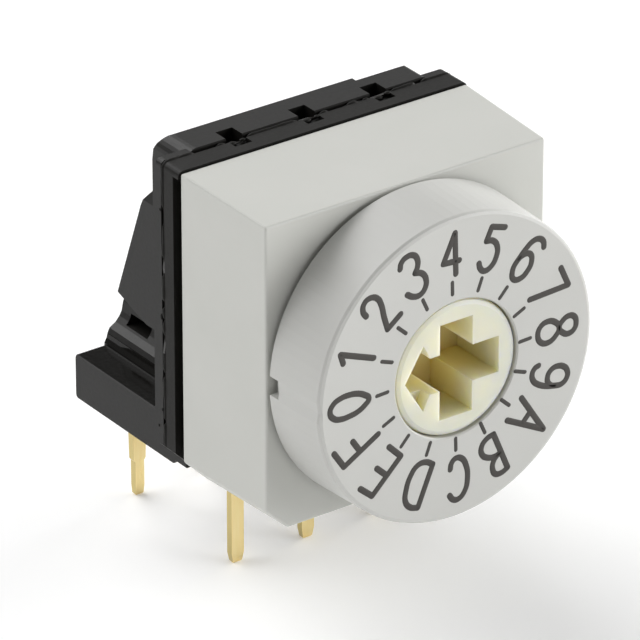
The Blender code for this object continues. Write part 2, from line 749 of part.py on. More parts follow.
def contact_base(surface):
    """Square flange with top and bottom lips over the seal, and a spigot in the cavity that
    carries the rotor's pivot and the terminals."""
    bm = along_axis([
        (flange_outline(FLANGE_HALF), SEAT_CLEARANCE),
        (flange_outline(FLANGE_HALF), FLANGE_BACK)])
    piece = finish(bm, "contact_base", place(0, FLANGE_BACK, AXIS_HEIGHT), surface)
    lip = FLANGE_HALF - LIP_HEIGHT
    room = box((-FLANGE_HALF - 1.0, FLANGE_HALF + 1.0), (-1.0, SEAL_GROOVE),
               (AXIS_HEIGHT - lip, AXIS_HEIGHT + lip))
    combine(piece, guide(room, "cut_seal_room"))
    outline = rounded_outline(CAVITY_SIZE / 2 - RUN_CLEARANCE, CAVITY_CORNER - RUN_CLEARANCE)
    middle = (SEAL_GROOVE + FLANGE_BACK) / 2
    combine(piece, guide(along_axis([(outline, BASE_FACE), (outline, middle)]), "join_spigot"), "UNION")
    socket = circle_outline(PIVOT_RADIUS + RUN_CLEARANCE, RING_STEPS)
    hole = along_axis([(socket, BASE_FACE - 0.5), (socket, PIVOT_END + RUN_CLEARANCE)])
    combine(piece, guide(hole, "cut_pivot_socket"))
    for column in (-1, 0, 1):
        side = column * PIN_PITCH
        hollow = box(
            (side - NOTCH_POCKET_WIDTH / 2, side + NOTCH_POCKET_WIDTH / 2),
            (HOLLOW_FRONT, FLANGE_BACK + 0.5),
            (AXIS_HEIGHT + FLANGE_HALF - HOLLOW_DEPTH, AXIS_HEIGHT + FLANGE_HALF + 0.5))
        combine(piece, guide(hollow, "cut_top_hollow_%d" % (column + 1)))
    for _, column, rear, track, x in TERMINALS:
        terminal_channel(piece, column, rear, track, x)
    return piece


def base_seal(surface):
    """Square sealing frame between the housing's back face and the flange."""
    outer = square_outline(HOUSING_SIZE / 2, SEAL_SETBACK)
    bm = along_axis([(outer, SEAT_CLEARANCE), (outer, SEAL_GROOVE - SEAT_CLEARANCE)])
    piece = finish(bm, "base_seal", place(0, SEAL_GROOVE, AXIS_HEIGHT), surface)
    inner = rounded_outline(CAVITY_SIZE / 2, CAVITY_CORNER)
    combine(piece, guide(along_axis([(inner, -1.0), (inner, 1.0)]), "cut_seal_middle"))
    return piece


def joint_resin(surface):
    """Thin film of sealing resin between the base's flange and the bracket's rim, its edge an
    uneven line just inside theirs."""
    reach = FLANGE_HALF - RESIN_SETBACK
    corner = FLANGE_CORNER_CUT

    def wavy(part, shift):
        """Uneven distance from the flange's edge along one side."""
        swing = math.sin(19 * part + shift) + 0.7 * math.sin(43 * part + 2 * shift)
        return reach + RESIN_WAVE * swing * math.sin(math.pi * part)

    outline = []
    for step in range(RESIN_STEPS):
        part = step / RESIN_STEPS
        outline.append((-reach + corner + (2 * reach - corner) * part, -wavy(part, 0.9)))
    for step in range(RESIN_STEPS):
        part = step / RESIN_STEPS
        outline.append((wavy(part, 0.4), -reach + 2 * reach * part))
    for step in range(RESIN_STEPS):
        part = step / RESIN_STEPS
        outline.append((reach - 2 * reach * part, wavy(part, 2.6)))
    for step in range(RESIN_STEPS + 1):
        part = step / RESIN_STEPS
        outline.append((-wavy(part, 1.9), reach - (2 * reach - corner) * part))
    bm = along_axis([(outline, RESIN_FRONT), (outline, RESIN_FRONT + RESIN_THICKNESS)])
    piece = finish(bm, "joint_resin", place(0, FLANGE_BACK, AXIS_HEIGHT), surface)
    window = LEG_WIDTH / 2 + 0.12
    for column in (-1, 0, 1):
        side = column * PIN_PITCH
        limits = (side - window, side + window)
        depths = (FLANGE_BACK - 0.5, PLATE_FRONT + 0.5)
        below = box(limits, depths, (-1.0, ENTRY_HEIGHT + 0.35))
        above = box(limits, depths, (TOP_ENTRY_HEIGHT - 0.35, TOP_ENTRY_HEIGHT + 0.35))
        combine(piece, guide(below, "cut_resin_low_%d" % (column + 1)))
        combine(piece, guide(above, "cut_resin_high_%d" % (column + 1)))
    return piece


def plate_and_foot():
    """Side view of the bracket's upright plate and its foot on the board."""
    return [
        (PLATE_FRONT, -FLANGE_OVERHANG),
        (FOOT_FRONT - FOOT_EDGE, -FLANGE_OVERHANG),
        (FOOT_FRONT, FOOT_BOTTOM),
        (FOOT_BACK - FOOT_EDGE, FOOT_BOTTOM),
        (FOOT_BACK - FOOT_EDGE * 0.29, FOOT_BOTTOM + FOOT_EDGE * 0.29),
        (FOOT_BACK, FOOT_BOTTOM + FOOT_EDGE),
        (FOOT_BACK, FOOT_TOP - FOOT_EDGE),
        (FOOT_BACK - FOOT_EDGE * 0.29, FOOT_TOP - FOOT_EDGE * 0.29),
        (FOOT_BACK - FOOT_EDGE, FOOT_TOP),
        (PLATE_BACK, FOOT_TOP),
        (PLATE_BACK, PLATE_TOP - PLATE_BEVEL_DROP),
        (PLATE_BACK - PLATE_BEVEL_WIDTH * 0.12, PLATE_TOP - PLATE_BEVEL_DROP + PLATE_BEVEL_KNEE),
        (PLATE_BACK - PLATE_BEVEL_WIDTH, PLATE_TOP),
        (PLATE_FRONT, PLATE_TOP),
    ]


def lowered_top():
    """Side view of what is missing behind the plate's top on its right end."""
    knee = PLATE_TOP - PLATE_BEVEL_DROP + PLATE_BEVEL_KNEE
    return [
        (PLATE_BACK - PLATE_BEVEL_WIDTH - PLATE_STEP, PLATE_TOP),
        (PLATE_BACK - PLATE_BEVEL_WIDTH * 0.12 - PLATE_STEP * 0.6, knee),
        (PLATE_BACK, PLATE_TOP - PLATE_BEVEL_DROP),
        (PLATE_BACK + 0.5, PLATE_TOP - PLATE_BEVEL_DROP),
        (PLATE_BACK + 0.5, PLATE_TOP + 0.5),
        (PLATE_BACK - PLATE_BEVEL_WIDTH - PLATE_STEP, PLATE_TOP + 0.5),
    ]


def plate_corner(side, radius):
    """What a round top corner leaves away, seen from the front; side is -1 left, 1 right."""
    middle = (BRACKET_HALF_WIDTH - radius, PLATE_TOP - radius - AXIS_HEIGHT)
    outline = []
    for step in range(7):
        angle = step * math.pi / 12
        outline.append((side * (middle[0] + radius * math.cos(angle)),
                        middle[1] + radius * math.sin(angle)))
    over = (radius + middle[0] + 0.5, radius + middle[1] + 0.5)
    outline += [(side * middle[0], over[1]), (side * over[0], over[1]), (side * over[0], middle[1])]
    return outline


def gusset_outline():
    """Side view of a gusset: short top slope, long back slope and a raised underside."""
    return [
        (PLATE_BACK - 0.4, GUSSET_UNDERSIDE),
        (PLATE_BACK + 0.36, GUSSET_UNDERSIDE),
        (PLATE_BACK + 0.96, GUSSET_UNDERSIDE + 0.17),
        (PLATE_BACK + GUSSET_FOOT_REACH, GUSSET_FOOT_HEIGHT),
        (PLATE_BACK + GUSSET_BEND_REACH, GUSSET_BEND_HEIGHT),
        (PLATE_BACK + GUSSET_SHOULDER_REACH, GUSSET_SHOULDER_HEIGHT),
        (PLATE_BACK, GUSSET_TOP),
        (PLATE_BACK - 0.4, GUSSET_TOP),
    ]


def gusset(side):
    """Gusset flush with the bracket's side, its outer top corner faceted; side is -1 or 1."""
    outer = BRACKET_HALF_WIDTH
    ends = sorted((side * outer, side * (outer - GUSSET_WIDTH)))
    bm = across_width(gusset_outline(), *ends)
    cut = bmesh.ops.bisect_plane(
        bm, geom=bm.verts[:] + bm.edges[:] + bm.faces[:],
        plane_co=place(side * outer, PLATE_BACK, GUSSET_TOP - GUSSET_FACET_DROP),
        plane_no=(side * GUSSET_FACET_DROP, 0.0, GUSSET_FACET), clear_outer=True)["geom_cut"]
    rim = [item for item in cut if isinstance(item, bmesh.types.BMEdge)]
    bmesh.ops.edgeloop_fill(bm, edges=rim)
    return bm


def block_outline():
    """Cross-section of the raised middle of the foot: a low step, a ledge that sweeps up and a
    block with rounded edges, the same on both sides."""
    half = [(x, FOOT_TOP + z) for x, z in BLOCK_SKIRT]
    half += [
        (BLOCK_TOP_HALF + BLOCK_EDGE, FOOT_TOP + BLOCK_HEIGHT - BLOCK_EDGE),
        (BLOCK_TOP_HALF + BLOCK_EDGE * 0.71, FOOT_TOP + BLOCK_HEIGHT - BLOCK_EDGE * 0.29),
        (BLOCK_TOP_HALF, FOOT_TOP + BLOCK_HEIGHT),
    ]
    return half + [(-x, z) for x, z in reversed(half)]


def terminal_bracket(surface):
    """Right-angle carrier behind the base: upright plate, foot on the board, two gussets and a
    raised block over the bends of the rear terminals."""
    w = BRACKET_HALF_WIDTH
    piece = finish(across_width(plate_and_foot(), -w, w), "terminal_bracket",
                   place(0, REAR_ROW, FOOT_BOTTOM), surface)
    round_edges(piece, PLATE_EDGE, 1)
    for side, radius, name in ((-1, PLATE_CORNER_LEFT, "left"), (1, PLATE_CORNER_RIGHT, "right")):
        missing = plate_corner(side, radius)
        corner = along_axis([(missing, PLATE_FRONT - 0.5), (missing, PLATE_BACK + 0.5)])
        combine(piece, guide(corner, "cut_plate_corner_" + name))
    lower = across_width(lowered_top(), PLATE_STEP_START, w + 0.5)
    combine(piece, guide(lower, "cut_plate_step"))
    rim = along_axis([(flange_outline(FLANGE_HALF), PLATE_FRONT), (flange_outline(FLANGE_HALF), RIM_BACK)])
    combine(piece, guide(rim, "join_rim"), "UNION")
    for side, name in ((-1, "left"), (1, "right")):
        combine(piece, guide(gusset(side), "join_gusset_" + name), "UNION")
    ring = [[place(x, depth, z) for x, z in block_outline()] for depth in (PLATE_BACK - 0.4, FOOT_BACK)]
    combine(piece, guide(loft(bmesh.new(), ring), "join_block"), "UNION")
    pocket_front = REAR_ROW - POCKET_SETBACK
    pockets = mirrored_box((POCKET_INNER, BRACKET_HALF_WIDTH),
                           (pocket_front, pocket_front + POCKET_LENGTH),
                           (FOOT_TOP + POCKET_BOTTOM, FOOT_TOP + POCKET_BOTTOM + POCKET_HEIGHT))
    combine(piece, guide(pockets, "cut_block_pockets"))
    for column in (-1, 0, 1):
        side = column * PIN_PITCH
        groove = box(
            (side - NOTCH_POCKET_WIDTH / 2, side + NOTCH_POCKET_WIDTH / 2),
            (PLATE_FRONT - 0.5, GROOVE_BACK),
            (RUN_HEIGHT + 0.3, PLATE_TOP + 0.5))
        combine(piece, guide(groove, "cut_groove_%d" % (column + 1)))
    for _, column, rear, track, x in TERMINALS:
        terminal_channel(piece, column, rear, track, x)
    return piece


def clear_scene():
    """Start from an empty scene."""
    for item in list(bpy.data.objects):
        bpy.data.objects.remove(item, do_unlink=True)


def build():
    """Make every piece of the switch and hang the turning ones from one pivot."""
    clear_scene()
    light_grey = material("housing_plastic", (0.56, 0.57, 0.53), 0.55)
    knob_grey = material("knob_plastic", (0.60, 0.60, 0.57), 0.50)
    cream = material("rotor_plastic", (0.80, 0.75, 0.55), 0.45)
    black = material("base_plastic", (0.055, 0.055, 0.050), 0.55)
    bracket_black = material("bracket_plastic", (0.075, 0.075, 0.070), 0.50)
    rubber = material("seal_rubber", (0.030, 0.030, 0.030), 0.80)
    washer_white = material("washer_plastic", (0.75, 0.75, 0.72), 0.50)
    resin = material("sealing_resin", (0.020, 0.018, 0.016), 0.30)
    steel = material("spring_steel", (0.60, 0.60, 0.58), 0.35, 1.0)
    gold = material("gold_plating", (0.83, 0.66, 0.30), 0.30, 1.0)

    housing(light_grey)
    shaft_seal(rubber)
    thrust_washer(washer_white)
    detent_spring("detent_spring_upper", 1, steel)
    detent_spring("detent_spring_lower", -1, steel)
    contact_base(black)
    base_seal(rubber)
    joint_resin(resin)
    terminal_bracket(bracket_black)
    for name, column, rear, track, x in TERMINALS:
        terminal(name, column, rear, track, x, gold)

    pivot = bpy.data.objects.new("turning_axis", None)
    pivot.location = place(0, HOUSING_FRONT, AXIS_HEIGHT)
    bpy.context.scene.collection.objects.link(pivot)
    for piece in (knob(knob_grey), rotor(cream), code_disc(gold)):
        piece.parent = pivot
        piece.location = (0.0, 0.0, 0.0)


build()
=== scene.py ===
"""Upright rotary coded switch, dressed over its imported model: square grey housing, printed dial
knob with a cream slotted rotor, black base and bracket, gold-plated pins.

Sizes are in millimetres and turned into metres by MM.  X runs to the right as seen from the
knob, Y away from the knob and Z up from the board.
"""

import math

import bmesh
import bpy
from mathutils import Matrix, Vector, noise


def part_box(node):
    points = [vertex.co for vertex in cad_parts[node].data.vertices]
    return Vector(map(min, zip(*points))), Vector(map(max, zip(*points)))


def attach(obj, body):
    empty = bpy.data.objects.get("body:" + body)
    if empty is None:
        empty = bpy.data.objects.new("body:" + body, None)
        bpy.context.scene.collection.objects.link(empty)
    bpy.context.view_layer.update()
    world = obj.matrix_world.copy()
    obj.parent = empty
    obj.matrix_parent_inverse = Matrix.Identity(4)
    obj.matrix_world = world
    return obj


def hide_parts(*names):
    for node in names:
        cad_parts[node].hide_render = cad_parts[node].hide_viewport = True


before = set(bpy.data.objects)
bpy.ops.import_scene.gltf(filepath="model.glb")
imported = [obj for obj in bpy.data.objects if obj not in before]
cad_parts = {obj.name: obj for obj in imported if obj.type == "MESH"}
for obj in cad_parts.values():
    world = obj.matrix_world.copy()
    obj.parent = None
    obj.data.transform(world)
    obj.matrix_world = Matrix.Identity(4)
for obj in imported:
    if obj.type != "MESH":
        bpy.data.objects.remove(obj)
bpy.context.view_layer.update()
MM = 0.001


# Housing: the square case that carries everything, injection moulded in light grey
# glass-filled PBT.  Its tool was spark eroded, so every face has a very fine even grain, and
# the knob, the rotor and the base all go into it.
GLOSS_SPREAD = 0.06


def linear(code):
    """Linear colour from an sRGB hex code."""
    parts = [int(code[i:i + 2], 16) / 255 for i in (1, 3, 5)]
    return (*(p / 12.92 if p <= 0.04045 else ((p + 0.055) / 1.055) ** 2.4 for p in parts), 1.0)


def add(tree, kind, sockets=None, **settings):
    """Add one shader node; a socket gets a plain value or the output that feeds it."""
    made = tree.nodes.new("ShaderNode" + kind)
    for name, value in settings.items():
        setattr(made, name, value)
    for name, value in (sockets or {}).items():
        if isinstance(value, bpy.types.NodeSocket):
            tree.links.new(value, made.inputs[name])
        else:
            made.inputs[name].default_value = value
    return made


def new_surface(name, **constants):
    """Empty material with one shader whose even values are set on its own sockets."""
    made = bpy.data.materials.new(name)
    made.use_nodes = True
    shader = made.node_tree.nodes["Principled BSDF"]
    for socket, value in constants.items():
        shader.inputs[socket.replace("_", " ")].default_value = value
    return made, made.node_tree, shader


def moulded_plastic(name, body, pale, roughness, grain_mm, depth_mm, cloud_mm=2.5, **constants):
    """Moulded thermoplastic: slow clouds between two close tones, as filler and flow leave
    them, under the fine grain that a spark-eroded mould prints on the skin."""
    made, tree, shader = new_surface(name, **constants)
    where = add(tree, "TexCoord").outputs["Object"]
    cloud = add(tree, "TexNoise", {"Vector": where, "Scale": 1 / (cloud_mm * MM), "Detail": 3.0})
    tone = add(tree, "Mix", {0: cloud.outputs["Fac"], 6: linear(body), 7: linear(pale)},
               data_type="RGBA")
    grain = add(tree, "TexNoise", {"Vector": where, "Scale": 1 / (grain_mm * MM), "Detail": 2.0})
    gloss = add(tree, "MapRange", {"Value": grain.outputs["Fac"], "To Min": roughness - GLOSS_SPREAD,
                                   "To Max": roughness + GLOSS_SPREAD})
    relief = add(tree, "Bump", {"Height": grain.outputs["Fac"], "Strength": 1.0,
                                "Distance": depth_mm * MM})
    tree.links.new(tone.outputs[2], shader.inputs["Base Color"])
    tree.links.new(gloss.outputs["Result"], shader.inputs["Roughness"])
    tree.links.new(relief.outputs["Normal"], shader.inputs["Normal"])
    return made


def dress(node, surface):
    """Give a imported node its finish."""
    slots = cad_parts[node].data.materials
    slots.clear()
    slots.append(surface)


# Light grey PBT, moulded: dull, faintly warm; a 0.12 mm grain is as fine as still shows.
housing_pbt = moulded_plastic("pbt_moulded_light_grey", "#C2C3BD", "#C9C9C4", 0.50, 0.12, 0.0012,
                              IOR=1.55)
dress("housing", housing_pbt)

# Shaft seal: a nitrile ring in the housing's pocket, moulded with a smooth dull skin.  It is
# pressed round the rotor's stem and keeps flux and water out.
nitrile = moulded_plastic("nitrile_rubber_moulded", "#2B2B2A", "#353533", 0.62, 0.10, 0.001, IOR=1.52)
dress("shaft_seal", nitrile)

# Thrust washer: a thin ring stamped from white acetal sheet, so it is smooth and waxy.  The
# detent drum turns against it.
acetal = moulded_plastic("acetal_sheet_white", "#E4E3DC", "#EBEAE4", 0.35, 0.20, 0.0005, IOR=1.48)
dress("thrust_washer", acetal)

# Rotor: the turned actuator, moulded in one piece from natural polyamide.  It is cream and a
# little translucent, so light sinks in at its edges; the olive yellow of the slot's walls is
# painted shade and painted bounced light, laid on its colour by depth.
ROTOR_FACE_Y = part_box("rotor")[0].y / MM
# Depths below the rotor's face where the painted slot shade and bounced light start and are full, then
# where its deepest tone starts and is full.
SLOT_SHADE_START = 0.12
SLOT_SHADE_FULL = 1.10
DEEP_SHADE_START = 0.60
DEEP_SHADE_FULL = 2.00

# Natural polyamide, moulded: waxy cream at the face, and yellower the deeper the slot goes, as
# painted shade and painted bounced light in the slot.
polyamide = moulded_plastic("polyamide_moulded_natural", "#DAD7C0", "#E0DECA", 0.40, 0.15, 0.0008,
                            IOR=1.53, Subsurface_Weight=0.75, Subsurface_Scale=MM,
                            Subsurface_Radius=(1.6, 1.3, 0.5))
tree = polyamide.node_tree
shader = tree.nodes["Principled BSDF"]
face_tone = shader.inputs["Base Color"].links[0].from_socket
place = add(tree, "SeparateXYZ", {"Vector": add(tree, "TexCoord").outputs["Object"]})
# Painted shade and bounced light: the slot's colour turns yellower with depth below the face.
painted_slot_shade = add(tree, "MapRange", {"Value": place.outputs["Y"],
                                 "From Min": (ROTOR_FACE_Y + SLOT_SHADE_START) * MM,
                                 "From Max": (ROTOR_FACE_Y + SLOT_SHADE_FULL) * MM},
              interpolation_type="SMOOTHSTEP")
painted_deep_shade = add(tree, "MapRange", {"Value": place.outputs["Y"],
                              "From Min": (ROTOR_FACE_Y + DEEP_SHADE_START) * MM,
                              "From Max": (ROTOR_FACE_Y + DEEP_SHADE_FULL) * MM})
painted_slot_tone = add(tree, "Mix", {0: painted_deep_shade.outputs["Result"], 6: linear("#E3D9A6"), 7: linear("#EAD896")},
           data_type="RGBA")
tone = add(tree, "Mix", {0: painted_slot_shade.outputs["Result"], 6: face_tone, 7: painted_slot_tone.outputs[2]},
           data_type="RGBA")
tree.links.new(tone.outputs[2], shader.inputs["Base Color"])
dress("rotor", polyamide)


# Detent springs: two leaves of rolled stainless strip, bowed over the drum and held at their
# ends in the housing.  Rolling leaves fine lines along the leaf.
def rolled_strip(name, dull, bright, stretch, line_mm, detail, gloss):
    """Rolled metal strip: fine lines along the way it was rolled, in its tone and its gloss."""
    made, tree, shader = new_surface(name, Metallic=1.0)
    where = add(tree, "TexCoord").outputs["Object"]
    stretched = add(tree, "Mapping", {"Vector": where, "Scale": stretch})
    lines = add(tree, "TexNoise", {"Vector": stretched.outputs["Vector"],
                                   "Scale": 1 / (line_mm * MM), "Detail": detail}).outputs["Fac"]
    tone = add(tree, "Mix", {0: lines, 6: linear(dull), 7: linear(bright)},
               data_type="RGBA").outputs[2]
    polish = add(tree, "MapRange", {"Value": lines, "To Min": gloss[0], "To Max": gloss[1]})
    tree.links.new(tone, shader.inputs["Base Color"])
    tree.links.new(polish.outputs["Result"], shader.inputs["Roughness"])
    return made, tree, shader, tone, lines


# Stainless strip, cold rolled: grey, fairly bright, streaked along its length.
steel = rolled_strip("stainless_strip_rolled", "#B9B9B6", "#CBCBC8", (1.0, 20.0, 1.0), 0.8, 2.0,
                     (0.22, 0.38))[0]
dress("detent_spring_upper", steel)
dress("detent_spring_lower", steel)

# Code disc and terminals: stamped from tin-bronze strip and plated with thin gold.  The disc
# is held on the rotor's hub, and the terminals are pressed into the base, with a contact
# finger at one end and a coined tip at the other.
HAIR = 0.01
WELD = 0.001
SIDE_TONE_START = 0.55
SIDE_TONE_FULL = 0.95
PLATING_RELIEF = 0.002
TIP_LENGTH = 0.33
TIP_WIDTH = {"front": 1.30, "rear": 1.62}
TIP_THICKNESS = 1.35
TIP_BEVEL = 0.05
TAPER_SPAN = (0.4, 0.7)
PIN_WIDTH = {"front": 1.0, "rear": 0.72}
FINGER_REACH = 0.35
FINGER_LIFT = 0.03
RIM_ANGLE = 0.5
SHARP_ANGLE = math.radians(30)

# Gold-plated bronze: bright, with a gloss that wanders a little along the strip's rolled skin,
# and a darker, duller colour on the faces that look along X, the pins' narrow sides.
gold, tree, shader, tone, lines = rolled_strip(
    "gold_plated_bronze_strip", "#EFD693", "#F7E6B2", (8.0, 8.0, 1.0), 1.2, 3.0, (0.24, 0.36))
relief = add(tree, "Bump", {"Height": lines, "Distance": PLATING_RELIEF * MM})
facing = add(tree, "SeparateXYZ", {"Vector": add(tree, "NewGeometry").outputs["Normal"]})
aside = add(tree, "Math", {0: facing.outputs["X"]}, operation="ABSOLUTE")
x_facing = add(tree, "MapRange", {"Value": aside.outputs["Value"], "From Min": SIDE_TONE_START,
                                 "From Max": SIDE_TONE_FULL})
plated = add(tree, "Mix", {0: x_facing.outputs["Result"], 6: tone, 7: linear("#CDBB80")},
             data_type="RGBA")
tree.links.new(plated.outputs[2], shader.inputs["Base Color"])
tree.links.new(relief.outputs["Normal"], shader.inputs["Normal"])
dress("code_disc", gold)


def new_piece(name, bm, surface):
    """Smooth-shaded piece from a bmesh that is in its place, with its finish."""
    mesh = bpy.data.meshes.new(name)
    bm.to_mesh(mesh)
    bm.free()
    mesh.materials.append(surface)
    mesh.shade_smooth()
    piece = bpy.data.objects.new(name, mesh)
    bpy.context.scene.collection.objects.link(piece)
    return piece


def coined(row, column):
    """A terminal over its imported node, its tip pressed to a short blunt end with round corners
    as the stamping tool leaves it.  Its contact finger stands off the disc a little further,
    so the key of the turning hub passes under it."""
    node = "terminal_%s_%s" % (row, column)
    bm = bmesh.new()
    bm.from_mesh(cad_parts[node].data)
    bmesh.ops.remove_doubles(bm, verts=bm.verts, dist=WELD * MM)
    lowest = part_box(node)[0].z
    taper_low, taper_high = (lowest + height * MM for height in TAPER_SPAN)
    end = [v for v in bm.verts if v.co.z < lowest + HAIR * MM]
    start = [v for v in bm.verts if taper_low < v.co.z < taper_high]
    middle = sum((v.co for v in end), Vector()) / len(end)
    for v in end:
        v.co.x = middle.x + (v.co.x - middle.x) * TIP_WIDTH[row]
        v.co.y = middle.y + (v.co.y - middle.y) * TIP_THICKNESS
    for v in start:
        v.co.z = lowest + TIP_LENGTH * MM
    for v in bm.verts:
        if v.co.z < 0.0:
            v.co.x = middle.x + (v.co.x - middle.x) * PIN_WIDTH[row]
        if v.co.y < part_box("code_disc")[1].y + FINGER_REACH * MM:
            v.co.y += FINGER_LIFT * MM
    rim = [e for e in bm.edges if all(v in end for v in e.verts) and not e.is_boundary
           and e.calc_face_angle(0.0) > RIM_ANGLE]
    bmesh.ops.bevel(bm, geom=rim, offset=TIP_BEVEL * MM, segments=2, profile=0.5, affect="EDGES",
                    material=-1)
    piece = new_piece(node + "_coined", bm, gold)
    piece.data.set_sharp_from_angle(angle=SHARP_ANGLE)
    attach(piece, "switch_body")
    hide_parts(node)


for row in ("front", "rear"):
    for column in ("left", "middle", "right"):
        coined(row, column)

# Base seal: a square frame of the same nitrile, squeezed between housing and base.  It shows
# as a very dark strip set back in the joint.
dress("base_seal", nitrile)

# Contact base: the flange that closes the housing from behind and holds the terminals,
# moulded in black glass-filled PPS.  The fibres make it a dull warm charcoal.
base_pps = moulded_plastic("pps_moulded_black_base", "#100F0D", "#181714", 0.46, 0.10, 0.0016,
                           cloud_mm=0.9, IOR=1.60, Specular_IOR_Level=0.12)
dress("contact_base", base_pps)

# Joint resin: epoxy that was run into the joint behind the flange.  It is glossy and nearly
# black deep in the joint.
epoxy = moulded_plastic("epoxy_resin_cured", "#141210", "#1D1A17", 0.28, 0.25, 0.003, IOR=1.54)
dress("joint_resin", epoxy)

# Resin seam: where the same epoxy welled up out of the joint and set almost level with the
# plastic, swelling here and there.  Small pits that it left open show the dark joint, and it
# dives under the hollows in the flange's top edge.
SEAM_RADIUS = 0.082
SEAM_SUNK = 0.055
SEAM_SWELL = 0.016
SEAM_WANDER = 0.012
SLOW_SWELL = (3.7, 1.9)
QUICK_SWELL = (9.1, 6.5)
WANDERING = (5.3, 4.0)
SEAM_STEP = 0.08
SEAM_TOP_BAND = 0.2
SEAM_TOP_EXTRA = 0.006
SEAM_DIVE = 2.2
THIN_SEAM = 0.06
PIT_RADIUS = 0.022
PIT_FLAT = 0.75
PIT_SLOPE = 0.6
DROP_FLATNESS = 0.6
SEAM_Y = (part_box("joint_resin")[0].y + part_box("joint_resin")[1].y) / 2 / MM
FLANGE_LEFT, FLANGE_RIGHT = (corner.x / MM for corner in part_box("contact_base"))
FLANGE_LOW, FLANGE_TOP = (corner.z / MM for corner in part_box("contact_base"))
FLANGE_CORNER = 0.18
FLANGE_CUT = 1.03
CORNER_STEPS = 4

# Pits as (X, Z, half length): the left side, the right side, then the top and bottom edges.
SEAM_PITS = [
    (FLANGE_LEFT, 8.60, 0.30), (FLANGE_LEFT, 7.02, 0.27), (FLANGE_LEFT, 5.79, 0.13),
    (FLANGE_LEFT, 5.28, 0.08), (FLANGE_LEFT, 4.55, 0.28), (FLANGE_LEFT, 3.53, 0.10),
    (FLANGE_LEFT, 1.98, 0.10), (FLANGE_RIGHT, 7.70, 0.25), (FLANGE_RIGHT, 5.10, 0.14),
    (FLANGE_RIGHT, 2.60, 0.30), (-3.60, FLANGE_TOP, 0.40), (1.02, FLANGE_TOP, 0.34),
    (1.86, FLANGE_TOP, 0.12), (3.92, FLANGE_TOP, 0.14), (-1.20, FLANGE_LOW, 0.30),
    (2.10, FLANGE_LOW, 0.22), (-2.54, FLANGE_TOP, 0.40), (0.0, FLANGE_TOP, 0.40),
    (2.54, FLANGE_TOP, 0.40)]

# Drops of resin as (X, Y from the joint, Z, length, width), sunk in the plastic by half.
SEAM_DROPS = [
    (FLANGE_LEFT, 0.13, 8.78, 0.05, 0.04), (FLANGE_LEFT, 0.07, 3.32, 0.14, 0.04),
    (FLANGE_LEFT, 0.10, 2.33, 0.06, 0.055), (FLANGE_LEFT, 0.30, 1.74, 0.05, 0.04),
    (FLANGE_LEFT, 0.12, 5.35, 0.10, 0.05), (FLANGE_RIGHT, 0.09, 6.40, 0.08, 0.05),
    (FLANGE_RIGHT, -0.10, 3.90, 0.06, 0.05), (-2.36, -0.08, FLANGE_TOP - 0.04, 0.11, 0.07),
    (-2.72, -0.06, FLANGE_TOP - 0.08, 0.16, 0.10), (0.23, -0.10, FLANGE_TOP - 0.03, 0.10, 0.07),
    (-0.12, -0.07, FLANGE_TOP - 0.08, 0.17, 0.10), (2.78, -0.06, FLANGE_TOP - 0.01, 0.12, 0.08),
    (2.44, -0.06, FLANGE_TOP - 0.08, 0.16, 0.10)]


def seam_path():
    """Points round the flange, sunk under its edge: three round corners and one cut one."""
    left, right = FLANGE_LEFT + SEAM_SUNK, FLANGE_RIGHT - SEAM_SUNK
    low, top = FLANGE_LOW + SEAM_SUNK, FLANGE_TOP - SEAM_SUNK
    r = FLANGE_CORNER
    corners = [(left + FLANGE_CUT, low)]
    for cx, cz, first in ((right - r, low + r, -90), (right - r, top - r, 0), (left + r, top - r, 90)):
        for step in range(CORNER_STEPS + 1):
            angle = math.radians(first + 90 * step / CORNER_STEPS)
            corners.append((cx + r * math.cos(angle), cz + r * math.sin(angle)))
    corners.append((left, low + FLANGE_CUT))
    points = []
    for (ax, az), (bx, bz) in zip(corners, corners[1:] + corners[:1]):
        steps = max(1, round(math.hypot(bx - ax, bz - az) / SEAM_STEP))
        points += [(ax + (bx - ax) * k / steps, az + (bz - az) * k / steps) for k in range(steps)]
    return points


def uneven(x, z, layer, per_mm):
    """Smooth unevenness along the seam, from -1 to 1, out of one layer of noise."""
    return noise.noise(Vector((x, layer, z)) * per_mm)


def seam_radius(x, z):
    """Thickness of the seam at a place: uneven, and thin at a pit."""
    radius = SEAM_RADIUS + SEAM_SWELL * (uneven(x, z, *SLOW_SWELL) + uneven(x, z, *QUICK_SWELL))
    if z > FLANGE_TOP - SEAM_TOP_BAND:
        radius += SEAM_TOP_EXTRA
    for pit_x, pit_z, half in SEAM_PITS:
        reach = math.hypot(x - pit_x, z - pit_z) / half
        if reach < PIT_FLAT + PIT_SLOPE:
            radius = min(radius, PIT_RADIUS + THIN_SEAM * max(0.0, reach - PIT_FLAT) / PIT_SLOPE)
    return radius


def solid_from(curve):
    """Bmesh of a curve's solid form."""
    holder = bpy.data.objects.new(curve.name, curve)
    bpy.context.scene.collection.objects.link(holder)
    bpy.context.view_layer.update()
    solid = bpy.data.meshes.new_from_object(holder)
    bpy.data.objects.remove(holder)
    bm = bmesh.new()
    bm.from_mesh(solid)
    bpy.data.meshes.remove(solid)
    return bm


